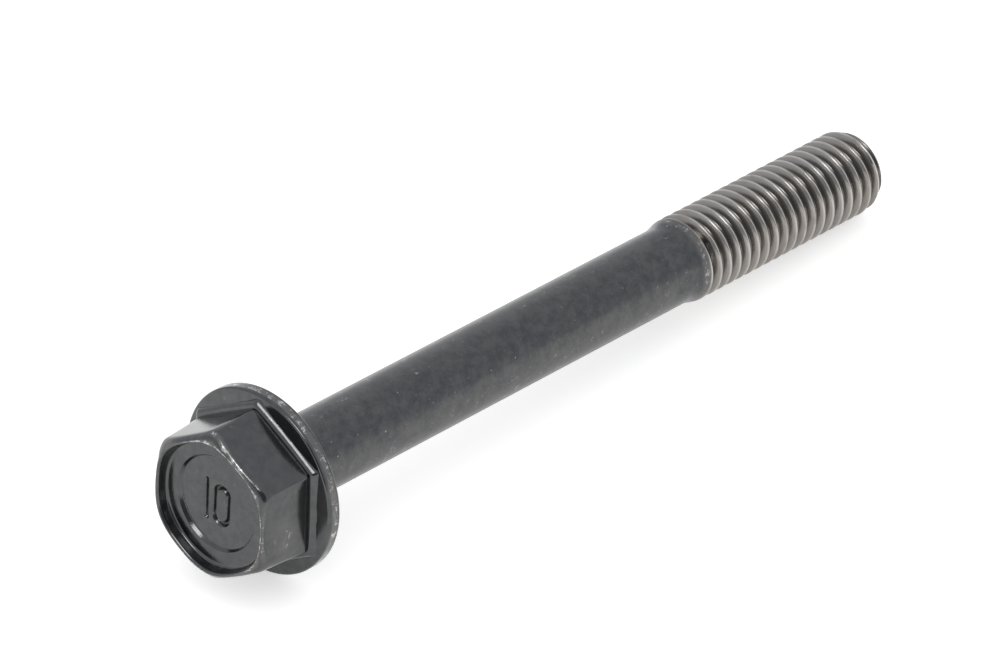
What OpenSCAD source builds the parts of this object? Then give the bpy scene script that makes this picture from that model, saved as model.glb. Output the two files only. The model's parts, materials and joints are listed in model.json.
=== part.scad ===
// Hexagon flange bolt, M8 x 75: one cold-headed piece with a rolled thread.
// It lies on the rim of its flange and on the last crests of its thread, with the floor at z = 0.
// The head points to -X and the thread to +X, and the origin is on the floor, under the middle.

/* [Thread] */
// Nominal diameter of the thread
thread_d = 8; // [7:0.5:9]
// How far the rolled crests stay under the nominal diameter
crest_allowance = 0.1; // [0:0.05:0.2]
// Rise of the thread in one turn
pitch = 1.25; // [0.75:0.25:1.5]
// Length from the start of the thread's shoulder to the tip
thread_length = 25; // [15:1:40]
// Turn of the thread about the bolt's axis
thread_turn = 7; // [-180:1:180]
// Length of the tapered shoulder between the shank and the thread
shoulder_l = 1.4; // [0.6:0.1:2]
// Length past the shoulder over which the grooves reach their full depth
runout_l = 0.9; // [0.5:0.1:3]
// Length of the chamfer that leads the thread in
tip_chamfer_l = 1.3; // [0.8:0.1:2]
// How far the edge of the flat end lies inside the crests
tip_drop = 0.6; // [0.2:0.1:1.2]

/* [Shank] */
// Length from the bearing face to the tip
length = 75; // [50:1:120]
// Radius of the fillet between the shank and the bearing face
neck_fillet = 0.5; // [0.4:0.05:0.8]

/* [Flange] */
// Diameter of the flange
flange_d = 17; // [16.7:0.1:20]
// Thickness of the flange at its rim
rim_h = 1.25; // [0.9:0.05:1.6]
// Rounding of the rim's two edges
rim_round = 0.25; // [0.1:0.05:0.4]
// Slope of the flange's upper side
cone_angle = 10; // [4:1:16]

/* [Head] */
// Width across the flats of the hexagon
hex_af = 12.8; // [11:0.1:13.2]
// Height from the bearing face to the end of the head
head_h = 7.4; // [6:0.1:9]
// How far the ledge that the hexagon stands on rises above the flange, at the flats
ledge_rise = 0.28; // [0.05:0.01:0.4]
// How far the ledge stands out past the flats
ledge_w = 0.45; // [0.4:0.05:0.6]
// How far the side of the ledge leans out on its way down to the flange
ledge_lean = 0.3; // [0.1:0.05:0.4]
// Radius of the hollow fillet between the flats and the ledge
foot_fillet = 0.35; // [0.2:0.05:0.4]
// Slope of the chamfer round the head's end, from the end's plane
chamfer_angle = 40; // [20:1:45]
// How far inside the flats that chamfer starts
chamfer_inset = 0.15; // [0.1:0.05:0.5]
// Turn of the hexagon about the bolt's axis, from a corner straight up
hex_turn = 0; // [-30:1:30]

/* [Recess] */
// Width of the flat rim between the chamfer and the recess
end_rim_w = 0.2; // [0.1:0.05:0.8]
// How far the wall of the recess leans in on its way down
wall_lean = 0.5; // [0.1:0.05:1]
// Depth of the narrow ring at the foot of the wall
ring_depth = 0.95; // [0.5:0.05:1.2]
// Width of that ring
ring_w = 0.95; // [0.3:0.05:1.2]
// Width of the slope between the ring and the sunk floor inside it
step_w = 0.3; // [0.1:0.05:0.5]
// How far the floor lies below the ring
floor_step = 0.2; // [0.1:0.05:0.4]

/* [Hidden] */
$fn = 96;
// Flat sides to one turn of the thread
thread_sides = 16;
// Flat steps in the hollow fillet at the foot of the hexagon
foot_steps = 3;
// How far a metric thread's minor diameter and pitch diameter lie under the nominal one, in pitches
minor_drop = 1.2269;
pitch_drop = 0.6495;
// Angle from a corner of the hexagon to the line where the round bodies of the head start and end
seam_turn = 15;

crest_r = (thread_d - crest_allowance) / 2;
root_r = (thread_d - minor_drop * pitch) / 2;
// The shank is the blank that the thread was rolled on, so it has the thread's pitch diameter
shank_r = (thread_d - pitch_drop * pitch) / 2;
tip_r = crest_r - tip_drop;

// The flange's upper side: where the cone leaves the rounded rim, and its height at the flats
flange_r = flange_d / 2;
flat_r = hex_af / 2;
cone_start = [
    flange_r - rim_round * (1 - sin(cone_angle)),
    rim_h - rim_round * (1 - cos(cone_angle))
];
cone_top = cone_h(flat_r);
ledge_h = cone_top + ledge_rise;
ledge_r = flat_r + ledge_w;
ledge_foot_r = ledge_r + ledge_lean;

// The head's end, from the chamfer in to the floor
chamfer_r = flat_r - chamfer_inset;
recess_r = chamfer_r - end_rim_w;
recess_foot_r = recess_r - wall_lean;
floor_r = recess_foot_r - ring_w - step_w;
recess_depth = ring_depth + floor_step;

// Where the thread starts and where the tip's chamfer starts, from the bearing face
thread_start = length - thread_length;
chamfer_start = length - tip_chamfer_l;

// One pitch of the thread's section: crest flat, flank, root flat, and the flank to the next crest
crest_w = pitch / 8;
root_w = pitch / 4;
flank_w = (pitch - crest_w - root_w) / 2;
section = [
    [0, crest_r],
    [crest_w, crest_r],
    [crest_w + flank_w, root_r],
    [crest_w + flank_w + root_w, root_r]
];

// The bolt tips over until the rounded rear edge of its rim and its last full crest touch the floor
rest_run = chamfer_start + rim_round;
rest_drop = flange_r - rim_round - crest_r;
rest_tilt = atan2(rest_drop, rest_run) + asin(rim_round / norm([rest_run, rest_drop]));
// Height of the bearing face's centre, and the middle of the bolt's length along the floor
rest_z = rim_round + (flange_r - rim_round) * cos(rest_tilt) - rim_round * sin(rest_tilt);
rest_x = ((length - head_h) * cos(rest_tilt) + (tip_r - chamfer_r) * sin(rest_tilt)) / 2;

// Height of the flange's upper side at a radius r
function cone_h(r) = cone_start[1] + (cone_start[0] - r) * tan(cone_angle);

// Largest radius of the threaded end at a distance t from the bearing face
function envelope(t) =
    let (shoulder = shank_r + (t - thread_start) * (crest_r - shank_r) / shoulder_l)
    let (lead_in = tip_r + (length - t) * (crest_r - tip_r) / tip_chamfer_l)
    min(crest_r, shoulder, lead_in);

// Bottom of the groove there: it runs out to nothing at the end of the shoulder
function groove_floor(t) =
    crest_r - (t - thread_start - shoulder_l) * (crest_r - root_r) / runout_l;

// Point of the thread's surface: side i of a turn, row j of the sections laid end to end
function thread_point(i, j, t_first) =
    let (s = section[j % len(section)])
    let (t = t_first + pitch * (i / thread_sides + floor(j / len(section))) + s[0])
    let (r = min(envelope(t), max(s[1], groove_floor(t))))
    let (a = -360 * i / thread_sides)
    [r * cos(a), r * sin(a), -t];

// The threaded end: one spiral strip of flat facets, from inside the shank to past the tip
module thread() {
    rows_a_turn = len(section);
    t_first = thread_start - shoulder_l - pitch;
    turns = ceil((length - t_first) / pitch) + 1;
    last = turns * rows_a_turn;
    function id(i, j) = (i < thread_sides) ? i * (last + 1) + j : j + rows_a_turn;
    points = [
        for (i = [0 : thread_sides - 1])
            for (j = [0 : last])
                thread_point(i, j, t_first)
    ];
    inner_end = len(points);
    outer_end = inner_end + 1;
    strip = [
        for (i = [0 : thread_sides - 1])
            for (j = [0 : last - 1 - (i == thread_sides - 1 ? rows_a_turn : 0)])
                for (half = [0, 1])
                    half == 0
                        ? [id(i, j), id(i + 1, j + 1), id(i + 1, j)]
                        : [id(i, j), id(i, j + 1), id(i + 1, j + 1)]
    ];
    // The two ends of the strip are closed by fans to points on the axis
    inner_loop = concat(
        [for (i = [0 : thread_sides - 1]) id(i, 0)],
        [for (j = [rows_a_turn : -1 : 1]) id(0, j)]
    );
    outer_loop = concat(
        [for (i = [0 : thread_sides - 1]) id(i, last)],
        [for (j = [last - 1 : -1 : last - rows_a_turn]) id(thread_sides - 1, j)]
    );
    inner_fan = [
        for (k = [0 : len(inner_loop) - 1])
            [inner_end, inner_loop[k], inner_loop[(k + 1) % len(inner_loop)]]
    ];
    outer_fan = [
        for (k = [0 : len(outer_loop) - 1])
            [outer_end, outer_loop[(k + 1) % len(outer_loop)], outer_loop[k]]
    ];
    ends = [
        [0, 0, -t_first - pitch / 2],
        [0, 0, -t_first - pitch * (turns + 0.5)]
    ];
    difference() {
        polyhedron(points = concat(points, ends), faces = concat(strip, inner_fan, outer_fan));
        translate([0, 0, -length - 2 * pitch - thread_d])
            cylinder(r = thread_d, h = 2 * pitch + thread_d);
    }
}

// Plain shank, ending inside the thread's shoulder, with the fillet under the head
module shank() {
    shank_l = thread_start + shoulder_l / 2;
    translate([0, 0, -shank_l])
        cylinder(r = shank_r, h = shank_l + rim_h);
    rotate_extrude()
        translate([shank_r, 0])
            difference() {
                translate([-neck_fillet, -neck_fillet])
                    square([2 * neck_fillet, neck_fillet + rim_h / 2]);
                translate([neck_fillet, -neck_fillet])
                    circle(r = neck_fillet);
            }
}

// Round flange: flat bearing face, rounded rim and conical upper side
module flange() {
    round_x = flange_r - rim_round;
    rotate_extrude()
        union() {
            polygon([
                [0, 0],
                [round_x, 0],
                [flange_r, rim_round],
                [flange_r, rim_h - rim_round],
                cone_start,
                [flat_r, cone_top],
                [0, cone_top]
            ]);
            for (y = [rim_round, rim_h - rim_round])
                translate([round_x, y])
                    circle(r = rim_round);
        }
}

// Section across two opposite flats, with the ledge and the hollow fillets at their foot
module flats_section() {
    foot = [
        for (k = [0 : foot_steps])
            let (a = 90 * k / foot_steps)
            [
                flat_r + foot_fillet * (1 - sin(a)),
                ledge_h + foot_fillet * (1 - cos(a))
            ]
    ];
    right = concat(
        [[ledge_foot_r, rim_h / 2], [ledge_foot_r, cone_h(ledge_foot_r)], [ledge_r, ledge_h]],
        foot,
        [[flat_r, head_h]]
    );
    left = [for (k = [len(right) - 1 : -1 : 0]) [-right[k][0], right[k][1]]];
    polygon(concat(right, left));
}

// Six flats on one ledge: three such sections, each drawn out along its flats, crossing each other
module hexagon() {
    rotate([0, 0, hex_turn + 30])
        intersection_for(k = [0 : 2])
            rotate([0, 0, 60 * k])
                rotate([90, 0, 0])
                    linear_extrude(height = 2 * hex_af, center = true)
                        flats_section();
}

// Turned outline of the head: the cone at its end leaves an arc on each flat, and the rim bounds its ledge
module turned_outline() {
    outer_r = flange_r - rim_round / 2;
    cone_foot = head_h - (outer_r - chamfer_r) * tan(chamfer_angle);
    rotate_extrude()
        polygon([
            [0, 0],
            [outer_r, 0],
            [outer_r, cone_foot],
            [chamfer_r, head_h],
            [0, head_h]
        ]);
}

// Dished end: steep wall, narrow ring and sunk floor
module recess() {
    lip = 1;
    lip_r = recess_r + lip * wall_lean / ring_depth;
    rotate_extrude()
        polygon([
            [0, head_h - recess_depth],
            [floor_r, head_h - recess_depth],
            [floor_r + step_w, head_h - ring_depth],
            [recess_foot_r, head_h - ring_depth],
            [lip_r, head_h + lip],
            [0, head_h + lip]
        ]);
}

module head() {
    difference() {
        intersection() {
            hexagon();
            rotate([0, 0, hex_turn + seam_turn])
                turned_outline();
        }
        recess();
    }
}

// The bolt on its own axis, bearing face at z = 0, head up
module bolt() {
    rotate([0, 0, hex_turn + seam_turn])
        flange();
    head();
    shank();
    rotate([0, 0, thread_turn])
        thread();
}

module flange_bolt() {
    color("#3b3c3f")
        translate([-rest_x, 0, rest_z])
            rotate([0, rest_tilt - 90, 0])
                bolt();
}

flange_bolt();
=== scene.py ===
"""A black oxide hexagon flange bolt with a rolled thread, lying on a white floor."""
import json
import math

import bmesh
import bpy
import numpy as np
from mathutils import Matrix, Vector

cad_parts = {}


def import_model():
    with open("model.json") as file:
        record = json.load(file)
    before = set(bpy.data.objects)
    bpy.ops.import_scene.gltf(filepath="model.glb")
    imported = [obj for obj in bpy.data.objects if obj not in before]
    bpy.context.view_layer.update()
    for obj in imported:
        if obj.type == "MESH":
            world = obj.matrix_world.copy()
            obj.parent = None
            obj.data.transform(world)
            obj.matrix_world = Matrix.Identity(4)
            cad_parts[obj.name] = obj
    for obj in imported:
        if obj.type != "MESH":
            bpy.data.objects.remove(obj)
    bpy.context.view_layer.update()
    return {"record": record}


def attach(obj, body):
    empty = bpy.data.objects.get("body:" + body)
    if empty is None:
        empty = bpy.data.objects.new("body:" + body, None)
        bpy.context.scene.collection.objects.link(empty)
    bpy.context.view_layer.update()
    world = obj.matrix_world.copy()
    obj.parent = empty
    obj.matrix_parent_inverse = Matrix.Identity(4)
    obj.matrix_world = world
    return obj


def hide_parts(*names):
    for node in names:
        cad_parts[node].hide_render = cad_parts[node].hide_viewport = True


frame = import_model()

# Sizes of the bolt are in millimetres with angles in degrees or radians, and the scene is in metres
MM = 0.001

# Thread
PITCH = 1.25
CREST_R = 3.95
ROOT_R = 3.233
LENGTH = 75.0
SHOULDER_START = 49.9
SHOULDER_END = 51.4
SHOULDER_SOFTNESS = 0.12
RUNOUT_L = 0.9
FIRST_CREST = 51.19
TIP_R = 3.35
TIP_CHAMFER_L = 1.3
TIP_ROUND = 0.3
TIP_ROUND_DROP = 0.12
# Half a pitch of the rolled section: place in pitches, and height from root to crest
HALF_SECTION = [(0, 1), (0.05, 0.985), (0.085, 0.92), (0.2, 0.56), (0.31, 0.215), (0.38, 0.04), (0.5, 0)]

# Shank, flange and head
SHANK_R = 3.594
NECK_FILLET = 0.5
FLANGE_R = 8.5
RIM_H = 1.25
RIM_ROUND = 0.25
CONE_ANGLE = math.radians(10)
FLAT_R = 6.4
FLAT_DRAFT = 0.07
CORNER_ROUND = 0.35
CORNER_ROUND_TOP = 1.7
HEAD_H = 7.2
LEDGE_H = 1.86
LEDGE_TOP_W = 0.15
LEDGE_FOOT_W = 0.72
LEDGE_ARC = math.radians(62)
CHAMFER_ANGLE = math.radians(37)
CHAMFER_ROUND = 0.8
HEX_TURN = math.radians(0.7)

# Recess in the head's end: punched a little off centre and leaning, its lip swelling towards the corners
LIP_R = 5.88
LIP_ROUND = 0.26
LIP_WAVE = 0.1
OFF_CENTRE = 0.1
OFF_CENTRE_DEG = -137
LEAN = 0.04
LEAN_DEG = 133
RECESS_FOOT_R = 5.74
RING_DEPTH = 1.02
STEP_R = 4.42
FLOOR_R = 4.2
FLOOR_STEP = 0.32
WALL_FILLET = 0.3
STEP_ROUND = 0.1

# Stamped class number on the floor of the recess: places across the head, upwards and to the left
STROKE_HALF_W = 0.3
STROKE_DEPTH = 0.36
ONE_TOP = (1.6, 1.4)
ONE_FOOT = (-1.95, 1.32)
ZERO_MIDDLE = (-0.24, -0.33)
ZERO_HALF_H = 1.75
ZERO_HALF_W = 0.78

# Where the columns of the mesh are halved on the shank, and where its rings hand over to the thread's spiral
HALVING_T = 1.5
RING_T = 47.0
SPIRAL_T = 48.3

# Fineness of the mesh
CORNER_STEPS_DEG = [0.35, 0.7, 1.05, 1.4, 1.9, 2.7, 3.7, 4.9, 6.2, 7.6]
FLAT_STEPS = 11
ARC_STEPS = 4
LIP_STEPS = 7
LEDGE_STEPS = 9
FLOOR_ROWS = 80
FLAT_ROWS = 4
CONE_ROWS = 5
SHANK_ROWS = 30
SHARP_ANGLE = math.radians(50)
CUT_TOLERANCE = 1e-6
# Most of a side that a rounding takes up, where its other end is rounded too and where it isn't
SHARED_REACH = 0.45
WHOLE_REACH = 0.95

# Wear as a share of full wear; a stretch of it has the share, its middle and its half width in degrees
WEAR_FALL = 1.6
ARC_WEAR = 0.15
ARC_STRETCHES = [(0.5, -15, 38), (0.35, -92, 32)]
FLAT_STRETCH = (0.4, -102, 32)
LIP_WEAR = 0.35
LIP_STRETCH = (0.65, -60, 110)
RIM_WEAR = 0.68
RIM_FOOT_WEAR = 0.6
# Ends of the worn band, as shares of the rim's height
RIM_BAND = (0.7, 0.3)
SHANK_STRETCHES = [(0.3, 20, 50), (0.3, -108, 50)]
SHOULDER_WEAR = 0.75
SHOULDER_WEAR_T = SHOULDER_END - 0.45
SHOULDER_WEAR_HALF_L = 0.6
ROLLED_FADE_L = 0.3

# Where the shank turns from the head's gloss to satin, in metres along the scene's x
SATIN_FROM = -0.0335
SATIN_FULL = -0.0305

# Camera, from the photo's fitted view: its place from the middle of the bearing face, in metres
PHOTO_W = 1000
FOCAL_PX = 7461.19
SENSOR_MM = 36.0
CAMERA_FROM_FACE = Vector((-0.357316, -0.364130, 0.363042))
CAMERA_LOOKS = Vector((0.6002097, 0.56672993, -0.56441607))

# Light: levels are shares of white
FLOOR_ALBEDO = 0.85
FLOOR_GLOW = 0.5
SKY_LIGHT = 1.0
ROOM_LEVEL = 0.94
ROOM_TINT = (0.97, 1.0, 1.05, 1)
FLOOR_HALF_W = 4.0
# The dark side of the room that the camera stands on, and the cosines between which it dims
CAMERA_SIDE = Vector((-0.62, -0.65, 0.42)).normalized()
CAMERA_SIDE_LEVEL = 0.25
DIM_FROM = 0.77
DIM_FULL = 0.94
KEY_TOWARDS = Vector((-0.55, -0.2, 0.81)).normalized()
KEY_DISTANCE = 0.6
KEY_SIZE = 0.26
KEY_LEVEL = 6.0


def bolt_axis():
    """Middle of the bearing face and the direction from the head to the tip, in the scene."""
    mounts = {m["name"]: m for m in frame["record"]["mounts"]}
    axis = Vector(mounts["thread"]["axis"]).normalized()
    on_axis = Vector(mounts["thread"]["pos_m"])
    on_face = Vector(mounts["bearing_face"]["pos_m"])
    return on_axis + axis * (on_face - on_axis).dot(axis), axis


def bolt_matrix():
    """From the bolt's own frame (head along +z, a hexagon corner along +x, millimetres) to the scene."""
    centre, axis = bolt_axis()
    own_z = -axis
    own_y = Vector((0, 1, 0))
    own_x = own_y.cross(own_z)
    turn = Matrix((own_x, own_y, own_z)).transposed().to_4x4()
    return Matrix.Translation(centre) @ turn @ Matrix.Scale(MM, 4)


def column_angles():
    """Angles of the mesh's columns, close together at the six corners of the hexagon."""
    flat_steps = np.linspace(CORNER_STEPS_DEG[-1], 30, FLAT_STEPS + 1)[1:]
    half = np.concatenate([CORNER_STEPS_DEG, flat_steps])
    sector = np.concatenate([-half[-2::-1], [0], half])
    return np.radians([k * 60 + a for k in range(6) for a in sector]) + HEX_TURN


ANGLES = column_angles()
COLUMNS = len(ANGLES)
THREAD_ANGLES = ANGLES[::2]


def hexagon(flat_r, corner_r):
    """Radius of a hexagon with rounded corners at each column."""
    from_corner = np.abs((ANGLES - HEX_TURN + math.pi / 6) % (math.pi / 3) - math.pi / 6)
    from_flat = math.pi / 6 - from_corner
    flat = flat_r / np.cos(from_flat)
    centre = (flat_r - corner_r) / math.cos(math.pi / 6)
    inside = np.maximum(corner_r**2 - (centre * np.sin(from_corner)) ** 2, 0)
    corner = centre * np.cos(from_corner) + np.sqrt(inside)
    flat_half = math.atan((flat_r - corner_r) * math.tan(math.pi / 6) / flat_r)
    return np.where(from_flat > flat_half, corner, flat)


def stretch(share, middle_deg, half_deg):
    """Wear at the columns: the share near an angle, falling to 0 at half_deg from it."""
    off = (ANGLES - math.radians(middle_deg) + math.pi) % (2 * math.pi) - math.pi
    return share * np.clip(WEAR_FALL - WEAR_FALL * np.abs(off) / math.radians(half_deg), 0, 1)


def stretches(rows):
    """The most wear that any of several stretches gives each column."""
    return np.max([stretch(*row) for row in rows], axis=0)


def rounded_rows(corners):
    """Rows of (radius and height, wear) along a section with rounded corners.

    A corner is (radius, height, rounding, wear, rows up to the next corner)."""
    points = [np.array([np.broadcast_to(c[0], COLUMNS), np.broadcast_to(c[1], COLUMNS)]) for c in corners]
    arcs = []
    for k, (_, _, rounding, wear_and_thread_shading, _) in enumerate(corners):
        here = points[k]
        if not rounding:
            arcs.append([(here, wear_and_thread_shading)])
            continue
        back = points[k - 1] - here
        ahead = points[k + 1] - here
        back_l = np.linalg.norm(back, axis=0)
        ahead_l = np.linalg.norm(ahead, axis=0)
        cosine = np.clip(-(back * ahead).sum(0) / (back_l * ahead_l), -1, 1)
        reach = rounding * np.tan(np.arccos(cosine) / 2)
        for side_l, neighbour in ((back_l, corners[k - 1]), (ahead_l, corners[k + 1])):
            reach = np.minimum(reach, side_l * (SHARED_REACH if neighbour[2] else WHOLE_REACH))
        first = here + back / back_l * reach
        last = here + ahead / ahead_l * reach
        arc = []
        for s in np.linspace(0, 1, ARC_STEPS + 1):
            point = (1 - s) ** 2 * first + 2 * s * (1 - s) * here + s**2 * last
            arc.append((point, wear_and_thread_shading * math.sin(math.pi * s) ** 0.5))
        arcs.append(arc)
    rows = []
    for k, arc in enumerate(arcs):
        rows += arc
        if k + 1 == len(arcs):
            break
        start, start_wear = arc[-1]
        end, end_wear = arcs[k + 1][0]
        for s in np.linspace(0, 1, corners[k][4] + 2)[1:-1]:
            ease = 0.5 - 0.5 * math.cos(math.pi * s)
            rows.append((start + (end - start) * ease, start_wear + (end_wear - start_wear) * ease))
    return rows


def stroke_depth(x, y):
    """Depth of the stamped number at points of the floor."""

    def to_line(a, b):
        a, b = np.array(a), np.array(b)
        run = b - a
        s = np.clip(((x - a[0]) * run[0] + (y - a[1]) * run[1]) / (run @ run), 0, 1)
        return np.hypot(x - a[0] - s * run[0], y - a[1] - s * run[1])

    one = to_line(ONE_TOP, ONE_FOOT)
    half_core = ZERO_HALF_H - ZERO_HALF_W
    core_top = (ZERO_MIDDLE[0] + half_core, ZERO_MIDDLE[1])
    core_foot = (ZERO_MIDDLE[0] - half_core, ZERO_MIDDLE[1])
    zero = np.abs(to_line(core_top, core_foot) - ZERO_HALF_W)
    near = np.minimum(one, zero) / STROKE_HALF_W
    return STROKE_DEPTH * (0.5 + 0.5 * np.cos(math.pi * np.clip(near, 0, 1)))


def head_rows():
    """Rows from the middle of the recess's floor over the head and flange to the start of the shank."""
    ring_h = HEAD_H - RING_DEPTH
    floor_h = ring_h - FLOOR_STEP
    flat_top = hexagon(FLAT_R - FLAT_DRAFT, CORNER_ROUND_TOP)
    flat_foot = hexagon(FLAT_R + FLAT_DRAFT, CORNER_ROUND)
    ledge_foot = hexagon(FLAT_R + LEDGE_FOOT_W, CORNER_ROUND)
    aside = OFF_CENTRE * np.cos(ANGLES - math.radians(OFF_CENTRE_DEG))
    leaning = LEAN * np.cos(ANGLES - math.radians(LEAN_DEG))
    crown_r = LIP_R + LIP_ROUND + aside + LIP_WAVE * np.cos(6 * (ANGLES - HEX_TURN))
    flat_mid = 0.5 * (flat_top + flat_foot)
    chamfer_foot = HEAD_H - (flat_top - crown_r) * math.tan(CHAMFER_ANGLE)
    stamped_r = FLOOR_R - STEP_ROUND

    def cone_h(r):
        return RIM_H + (FLANGE_R - r) * math.tan(CONE_ANGLE)

    rows = []
    for r in np.linspace(0, stamped_r, FLOOR_ROWS + 1)[1:]:
        sunk = floor_h + leaning * r - stroke_depth(r * np.cos(ANGLES), r * np.sin(ANGLES))
        rows.append((np.array([np.full(COLUMNS, r), sunk]), 0.0))
    scuffed_arc = ARC_WEAR + stretches(ARC_STRETCHES)
    scuffed_flat = stretch(*FLAT_STRETCH)
    scuffed_lip = LIP_WEAR + stretch(*LIP_STRETCH)
    lip = []
    for a in np.linspace(0, math.pi / 2, LIP_STEPS):
        lip_r = crown_r - LIP_ROUND * math.cos(a)
        lip_h = HEAD_H + leaning * lip_r - LIP_ROUND * (1 - math.sin(a))
        lip.append((lip_r, lip_h, 0, scuffed_lip * math.sin(a) ** 3, 0))
    ledge_side = []
    for a in np.linspace(0, LEDGE_ARC, LEDGE_STEPS):
        out = LEDGE_TOP_W + (LEDGE_FOOT_W - LEDGE_TOP_W) * math.sin(a) / math.sin(LEDGE_ARC)
        down = (1 - math.cos(a)) / (1 - math.cos(LEDGE_ARC))
        side_h = LEDGE_H + (cone_h(ledge_foot) - LEDGE_H) * down
        ledge_side.append((hexagon(FLAT_R + out, CORNER_ROUND), side_h, 0, 0, 0))
    ledge_side[-1] = (*ledge_side[-1][:4], CONE_ROWS)
    section = [
        (stamped_r, floor_h + leaning * stamped_r, 0, 0, 0),
        (FLOOR_R, floor_h + leaning * FLOOR_R, STEP_ROUND, 0, 0),
        (STEP_R, ring_h + leaning * STEP_R, STEP_ROUND, 0, 2),
        (RECESS_FOOT_R + aside, ring_h + leaning * RECESS_FOOT_R, WALL_FILLET, 0, 3),
        *lip,
        (flat_top, chamfer_foot, CHAMFER_ROUND, scuffed_arc, FLAT_ROWS),
        (flat_mid, 0.5 * (chamfer_foot + LEDGE_H), 0, scuffed_flat, FLAT_ROWS),
        (flat_foot, LEDGE_H, 0, 0, 1),
        *ledge_side,
        (FLANGE_R, RIM_H, RIM_ROUND, 0, 0),
        (FLANGE_R, RIM_BAND[0] * RIM_H, 0, RIM_WEAR, 1),
        (FLANGE_R, RIM_BAND[1] * RIM_H, 0, RIM_WEAR, 0),
        (FLANGE_R, 0, RIM_ROUND, RIM_FOOT_WEAR, 4),
        (SHANK_R, 0, NECK_FILLET, 0, 1),
        (SHANK_R, -HALVING_T, 0, 0, 0),
    ]
    return rows + rounded_rows(section)[1:]


def spiral_rows():
    """Places of the thread's spiral rows at angle 0 with the section's height, and the rows to a turn."""
    turn = HALF_SECTION + [(1 - x, y) for x, y in HALF_SECTION[-2:0:-1]]
    first = FIRST_CREST - PITCH * math.floor((FIRST_CREST - SPIRAL_T) / PITCH)
    count = math.ceil((LENGTH - first) / PITCH) + 2
    rows = [(first + PITCH * (k + x), y) for k in range(count) for x, y in turn]
    return np.array(rows).T, len(turn)


def thread_radius(t, height):
    """Radius of the threaded end at distances t from the bearing face."""
    shoulder = SHANK_R + (t - SHOULDER_START) * (CREST_R - SHANK_R) / (SHOULDER_END - SHOULDER_START)
    runout = CREST_R - (t - SHOULDER_END) * (CREST_R - ROOT_R) / RUNOUT_L
    rolled = np.maximum(ROOT_R + height * (CREST_R - ROOT_R), runout)
    k = SHOULDER_SOFTNESS
    blend = np.clip(0.5 + (rolled - shoulder) / (2 * k), 0, 1)
    r = rolled * (1 - blend) + shoulder * blend - k * blend * (1 - blend)
    step = np.clip(0.5 + (SHANK_R - r) / (2 * k), 0, 1)
    soft = r * (1 - step) + SHANK_R * step + k * step * (1 - step)
    r = np.where(t < SHOULDER_END, soft, r)
    lead_in = TIP_R + (LENGTH - t) * (CREST_R - TIP_R) / TIP_CHAMFER_L
    rounding = np.clip((t - LENGTH + TIP_ROUND) / TIP_ROUND, 0, 1)
    return np.minimum(r, lead_in - TIP_ROUND_DROP * rounding**2)


class Skin:
    """Points with their wear values, which on the thread are the crest height for its painted shade and
    highlight, their thread values, and the faces between them.
    """

    def __init__(self):
        self.points = []
        self.wear_and_thread_shading = []
        self.thread = []
        self.faces = []

    def add(self, radius, angle, height, wear_and_thread_shading=0.0, thread=0.0):
        """Adds points in polar places, and gives their numbers."""
        x, y, z = np.broadcast_arrays(radius * np.cos(angle), radius * np.sin(angle), height)
        first = len(self.points)
        self.points += np.stack([x, y, z], 1).tolist()
        self.wear_and_thread_shading += np.broadcast_to(wear_and_thread_shading, x.shape).tolist()
        self.thread += np.broadcast_to(thread, x.shape).tolist()
        return np.arange(first, len(self.points))

    def join(self, a, b):
        """Faces between two rings, where the second has as many points as the first or half as many."""
        share = len(a) // len(b)
        for i in range(len(b)):
            follow = (i + 1) % len(b)
            along = [a[(i * share + k) % len(a)] for k in range(share, -1, -1)]
            self.faces.append((b[i], b[follow], *along))

    def mesh(self, name):
        mesh = bpy.data.meshes.new(name)
        mesh.from_pydata(self.points, [], self.faces)
        for layer, values in (("wear_and_thread_shading", self.wear_and_thread_shading), ("thread", self.thread)):
            mesh.attributes.new(layer, "FLOAT", "POINT").data.foreach_set("value", values)
        return mesh


def add_thread(skin, ring):
    """The spiral strip of the thread, from the shank's last ring to past the tip."""
    (row_t, row_height), turn_rows = spiral_rows()
    columns = []
    for angle in THREAD_ANGLES:
        t = row_t - PITCH * angle / (2 * math.pi)
        rolled = np.clip((t - SHOULDER_END) / ROLLED_FADE_L + 1, 0, 1)
        on_shoulder = np.clip(1 - np.abs(t - SHOULDER_WEAR_T) / SHOULDER_WEAR_HALF_L, 0, 1)
        # On the thread the wear value is the crest height, which paints shade into the grooves and a
        # highlight on the crests; on the shoulder it is real scuffing
        wear_and_thread_shading = np.maximum(row_height * rolled, SHOULDER_WEAR * on_shoulder)
        columns.append(skin.add(thread_radius(t, row_height), angle, -t, wear_and_thread_shading, rolled))
    # The first column again, one turn further on
    columns.append(np.roll(columns[0], turn_rows))
    last_column = len(THREAD_ANGLES) - 1
    for i, (here, there) in enumerate(zip(columns, columns[1:])):
        for j in range(turn_rows if i == last_column else 0, len(row_t) - 1):
            skin.faces.append((here[j], here[j + 1], there[j + 1], there[j]))
        if i < last_column:
            skin.faces.append((ring[i], here[0], there[0], ring[i + 1]))
    seam = columns[last_column][: turn_rows + 1]
    skin.faces.append((ring[-1], *seam, columns[0][0], ring[0]))


def bolt_mesh():
    """One mesh of the whole bolt in its own frame, with wear (on the thread, the crest height for its
    painted shade and highlight) and thread as point attributes.
    """
    skin = Skin()
    rows = head_rows()
    middle = skin.add(np.zeros(1), 0.0, rows[0][0][1, 0])[0]
    rings = [skin.add(r, ANGLES, h, wear_and_thread_shading) for (r, h), wear_and_thread_shading in rows]
    scuffed_shank = stretches(SHANK_STRETCHES)[::2]
    for t in np.linspace(HALVING_T, RING_T, SHANK_ROWS)[1:]:
        rings.append(skin.add(np.full(len(THREAD_ANGLES), SHANK_R), THREAD_ANGLES, -t, scuffed_shank))
    for i in range(COLUMNS):
        skin.faces.append((middle, rings[0][i], rings[0][(i + 1) % COLUMNS]))
    for a, b in zip(rings, rings[1:]):
        skin.join(a, b)
    add_thread(skin, rings[-1])
    return skin.mesh("flange_bolt_visual")


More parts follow.
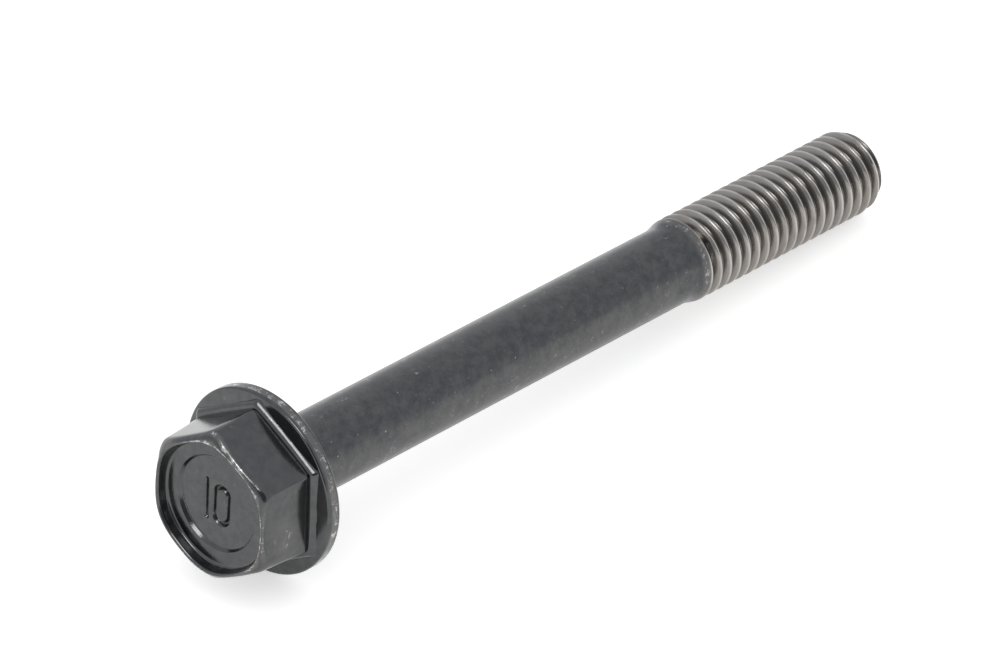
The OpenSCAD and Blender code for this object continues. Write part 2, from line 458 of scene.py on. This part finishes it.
def cut_tip(mesh):
    """Cuts the thread square at its tip and closes it with a flat face."""
    bm = bmesh.new()
    bm.from_mesh(mesh)
    geom = bm.verts[:] + bm.edges[:] + bm.faces[:]
    end = {"plane_co": (0, 0, -LENGTH), "plane_no": (0, 0, -1)}
    cut = bmesh.ops.bisect_plane(bm, geom=geom, dist=CUT_TOLERANCE, clear_outer=True, **end)
    edges = [e for e in cut["geom_cut"] if isinstance(e, bmesh.types.BMEdge)]
    bmesh.ops.edgeloop_fill(bm, edges=edges)
    bmesh.ops.recalc_face_normals(bm, faces=bm.faces[:])
    bm.to_mesh(mesh)
    bm.free()


def bolt():
    mesh = bolt_mesh()
    cut_tip(mesh)
    mesh.transform(bolt_matrix())
    mesh.update()
    mesh.polygons.foreach_set("use_smooth", [True] * len(mesh.polygons))
    mesh.set_sharp_from_angle(angle=SHARP_ANGLE)
    obj = bpy.data.objects.new("flange_bolt_visual", mesh)
    bpy.context.scene.collection.objects.link(obj)
    normals = obj.modifiers.new("normals", "WEIGHTED_NORMAL")
    normals.keep_sharp = True
    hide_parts("flange_bolt")
    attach(obj, "root")
    return obj


class Nodes:
    """Short way to build a node tree."""

    def __init__(self, tree):
        self.tree = tree
        tree.nodes.clear()

    def add(self, kind, inputs=None, **settings):
        node = self.tree.nodes.new(kind)
        for key, value in settings.items():
            setattr(node, key, value)
        for key, value in (inputs or {}).items():
            self.put(value, node.inputs[key])
        return node

    def put(self, value, socket):
        if isinstance(value, bpy.types.NodeSocket):
            self.tree.links.new(value, socket)
        else:
            socket.default_value = value

    def math(self, operation, a, b):
        return self.add("ShaderNodeMath", {0: a, 1: b}, operation=operation).outputs[0]

    def times(self, a, b):
        return self.math("MULTIPLY", a, b)

    def plus(self, a, b):
        return self.math("ADD", a, b)

    def mix(self, factor, a, b):
        node = self.add("ShaderNodeMix", data_type="RGBA")
        for key, value in (("Factor", factor), ("A", a), ("B", b)):
            socket = [s for s in node.inputs if s.name == key and s.enabled][0]
            self.put(value, socket)
        return [s for s in node.outputs if s.enabled][0]

    def between(self, factor, a, b):
        """A number that goes from a to b with the factor."""
        return self.add("ShaderNodeMapRange", {"Value": factor, "To Min": a, "To Max": b}).outputs[0]

    def ramp(self, value, low, high):
        node = self.add("ShaderNodeMapRange", {"Value": value, "From Min": low, "From Max": high})
        node.interpolation_type = "SMOOTHSTEP"
        return node.outputs[0]

    def noise(self, vector, scale, detail, roughness=0.55):
        inputs = {"Vector": vector, "Scale": scale, "Detail": detail, "Roughness": roughness}
        return self.add("ShaderNodeTexNoise", inputs).outputs["Fac"]

    def attribute(self, name):
        return self.add("ShaderNodeAttribute", attribute_name=name).outputs["Fac"]


def grey(level, warmth=0.0):
    return (level * (1 + warmth), level, level * (1 - warmth), 1)


# Colours of the finish, and the painted shade and highlight of the thread
OXIDE_DARK = grey(0.078, -0.025)
OXIDE_LIGHT = grey(0.098, -0.01)
OXIDE_SPOT = grey(0.13)
SHANK_DARK = grey(0.068, -0.05)
SHANK_LIGHT = grey(0.1)
SHANK_SPECK = grey(0.24, 0.02)
# Thread: painted shade in the grooves, the thread's own lighter warm tone on the flanks, and a painted
# highlight on the crests
PAINTED_GROOVE_SHADE = grey(0.1, 0.05)
FLANK = grey(0.25, 0.07)
PAINTED_CREST_HIGHLIGHT = grey(0.42, 0.05)
THREAD_STAIN = grey(0.2, 0.1)
DULLED = grey(0.14, 0.035)
BARE_STEEL = grey(0.48, 0.015)

# Roughness of the bare oxide, and what the shank, dull places and the thread add to it
ROUGH_LEAST = 0.11
ROUGH_MOST = 0.21
SHANK_ROUGHER = 0.11
DULL_ROUGHER = 0.12
THREAD_ROUGHER = 0.05

# Noise patterns as scale, in waves to a metre, then detail and roughness where it isn't the usual one
CLOUD = (350.0, 3.0)
BLOTCH = (1000.0, 7.0, 0.75)
MOTTLE = (1100.0, 4.0)
SPECK = (2600.0, 2.0)
FINE = (5200.0, 3.0)
BUMP_STRENGTH = 0.15
BUMP_DEPTH = 0.00003

# Values of a pattern, of the wear or of the thread's crest height between which a colour comes in
BLOTCH_RANGE = (0.34, 0.68)
SPOT_RANGE = (0.64, 0.78)
SPECK_RANGE = (0.71, 0.76)
GROOVE_SHADE_FADE = (0.0, 0.75)
CREST_HIGHLIGHT_RANGE = (0.78, 1.0)
STAIN_RANGE = (0.45, 0.8)
DULL_RANGE = (0.0, 0.7)
WORN_RANGE = (0.1, 0.6)
PATCH_RANGE = (0.6, 0.74)
# How strongly the blotches dull, from their least to their most
DULL_SHARES = (0.2, 1.3)
# Shares of the two patterns and of the wear in what the patches are cut from
PATCH_MOTTLE = 0.6
PATCH_FINE = 0.4
PATCH_WEAR = 0.16


def black_oxide():
    """Satin black oxide over steel: mottled, scuffed, worn bright on its edges, and warmer on the thread,
    with painted shade in the thread's grooves and a painted highlight along its crests.
    """
    mat = bpy.data.materials.new("black_steel")
    mat.use_nodes = True
    n = Nodes(mat.node_tree)
    place = n.add("ShaderNodeTexCoord").outputs["Object"]
    cloud = n.noise(place, *CLOUD)
    mottle = n.noise(place, *MOTTLE)
    fine = n.noise(place, *FINE)
    blotch = n.noise(place, *BLOTCH)
    specks = n.ramp(n.noise(place, *SPECK), *SPECK_RANGE)
    blotched = n.ramp(blotch, *BLOTCH_RANGE)
    thread = n.attribute("thread")
    wear_and_thread_shading = n.attribute("wear_and_thread_shading")
    along = n.add("ShaderNodeSeparateXYZ", {"Vector": place}).outputs["X"]
    plain = n.math("SUBTRACT", 1.0, thread)
    shank = n.times(n.ramp(along, SATIN_FROM, SATIN_FULL), plain)

    head_oxide = n.mix(blotched, OXIDE_DARK, OXIDE_LIGHT)
    head_oxide = n.mix(n.ramp(mottle, *SPOT_RANGE), head_oxide, OXIDE_SPOT)
    shank_oxide = n.mix(blotched, SHANK_DARK, SHANK_LIGHT)
    shank_oxide = n.mix(specks, shank_oxide, SHANK_SPECK)
    oxide = n.mix(shank, head_oxide, shank_oxide)

    # On the thread the wear value is the height from groove to crest, used to paint shade into the grooves
    # and a highlight along the crests
    rolled = n.mix(n.ramp(wear_and_thread_shading, *GROOVE_SHADE_FADE), PAINTED_GROOVE_SHADE, FLANK)
    rolled = n.mix(n.ramp(wear_and_thread_shading, *CREST_HIGHLIGHT_RANGE), rolled, PAINTED_CREST_HIGHLIGHT)
    rolled = n.mix(n.ramp(cloud, *STAIN_RANGE), rolled, THREAD_STAIN)
    base = n.mix(thread, oxide, rolled)

    dull = n.times(n.ramp(wear_and_thread_shading, *DULL_RANGE), n.between(blotch, *DULL_SHARES))
    dull = n.times(dull, plain)
    base = n.mix(dull, base, DULLED)
    scuff = n.plus(n.times(mottle, PATCH_MOTTLE), n.times(fine, PATCH_FINE))
    patch = n.ramp(n.plus(scuff, n.times(wear_and_thread_shading, PATCH_WEAR)), *PATCH_RANGE)
    worn = n.times(n.times(n.ramp(wear_and_thread_shading, *WORN_RANGE), patch), plain)
    base = n.mix(worn, base, BARE_STEEL)

    rough = n.between(fine, ROUGH_LEAST, ROUGH_MOST)
    for place_share, rougher in ((shank, SHANK_ROUGHER), (dull, DULL_ROUGHER), (thread, THREAD_ROUGHER)):
        rough = n.plus(rough, n.times(place_share, rougher))
    bump = n.add("ShaderNodeBump", {"Height": fine, "Strength": BUMP_STRENGTH, "Distance": BUMP_DEPTH})
    inputs = {"Base Color": base, "Roughness": rough, "Metallic": 1.0, "Normal": bump.outputs[0]}
    shader = n.add("ShaderNodeBsdfPrincipled", inputs)
    n.add("ShaderNodeOutputMaterial", {"Surface": shader.outputs[0]})
    return mat


def floor():
    """White floor that keeps the bolt's shadow: matt, with a glow for the rays that see it."""
    w = FLOOR_HALF_W
    mesh = bpy.data.meshes.new("floor")
    corners = [(-w, -w, 0), (w, -w, 0), (w, w, 0), (-w, w, 0)]
    mesh.from_pydata(corners, [], [(0, 1, 2, 3)])
    obj = bpy.data.objects.new("floor", mesh)
    bpy.context.scene.collection.objects.link(obj)
    mat = bpy.data.materials.new("floor_white")
    mat.use_nodes = True
    n = Nodes(mat.node_tree)
    path = n.add("ShaderNodeLightPath").outputs
    seen = n.math("MAXIMUM", path["Is Camera Ray"], path["Is Transmission Ray"])
    seen = n.math("MAXIMUM", seen, path["Is Glossy Ray"])
    strength = n.times(seen, FLOOR_GLOW)
    glow = n.add("ShaderNodeEmission", {"Color": grey(1.0), "Strength": strength})
    matt = n.add("ShaderNodeBsdfDiffuse", {"Color": grey(FLOOR_ALBEDO)})
    surface = n.add("ShaderNodeAddShader", {0: matt.outputs[0], 1: glow.outputs[0]})
    n.add("ShaderNodeOutputMaterial", {"Surface": surface.outputs[0]})
    mat.cycles.emission_sampling = "NONE"
    mesh.materials.append(mat)


def world():
    """An even sky that lights the floor, seen as white by the camera and as a pale cool room in gloss."""
    studio = bpy.data.worlds.new("studio")
    bpy.context.scene.world = studio
    studio.use_nodes = True
    n = Nodes(studio.node_tree)
    path = n.add("ShaderNodeLightPath").outputs
    sky = n.add("ShaderNodeBackground", {"Color": grey(1.0), "Strength": SKY_LIGHT})
    direction = n.add("ShaderNodeTexCoord").outputs["Generated"]
    towards = n.add("ShaderNodeVectorMath", {0: direction, 1: CAMERA_SIDE}, operation="DOT_PRODUCT")
    dim = n.ramp(towards.outputs["Value"], DIM_FROM, DIM_FULL)
    level = n.between(dim, ROOM_LEVEL, CAMERA_SIDE_LEVEL)
    room = n.add("ShaderNodeBackground", {"Color": ROOM_TINT, "Strength": level})
    white = n.add("ShaderNodeBackground", {"Color": grey(1.0), "Strength": 1.0})
    seen = n.math("MAXIMUM", path["Is Camera Ray"], path["Is Transmission Ray"])
    lit = n.add("ShaderNodeMixShader", {0: path["Is Glossy Ray"], 1: sky.outputs[0], 2: room.outputs[0]})
    shown = n.add("ShaderNodeMixShader", {0: seen, 1: lit.outputs[0], 2: white.outputs[0]})
    n.add("ShaderNodeOutputWorld", {"Surface": shown.outputs[0]})


def key_light():
    """Round soft light that shines at the origin and shows only in gloss."""
    lamp = bpy.data.lights.new("key", "AREA")
    lamp.shape = "DISK"
    lamp.size = KEY_SIZE
    # An even disk gives off its brightness times pi times its area
    area = math.pi * KEY_SIZE**2 / 4
    lamp.energy = KEY_LEVEL * math.pi * area
    obj = bpy.data.objects.new("key", lamp)
    obj.location = KEY_TOWARDS * KEY_DISTANCE
    obj.rotation_euler = (-KEY_TOWARDS).to_track_quat("-Z", "Y").to_euler()
    obj.visible_diffuse = False
    bpy.context.scene.collection.objects.link(obj)


def camera():
    data = bpy.data.cameras.new("camera")
    data.sensor_fit = "HORIZONTAL"
    data.sensor_width = SENSOR_MM
    data.lens = FOCAL_PX * SENSOR_MM / PHOTO_W
    obj = bpy.data.objects.new("camera", data)
    obj.location = bolt_axis()[0] + CAMERA_FROM_FACE
    obj.rotation_euler = CAMERA_LOOKS.to_track_quat("-Z", "Y").to_euler()
    bpy.context.scene.collection.objects.link(obj)
    bpy.context.scene.camera = obj


camera()
piece = bolt()
piece.data.materials.append(black_oxide())
floor()
world()
key_light()
bpy.context.scene.view_settings.view_transform = "Standard"
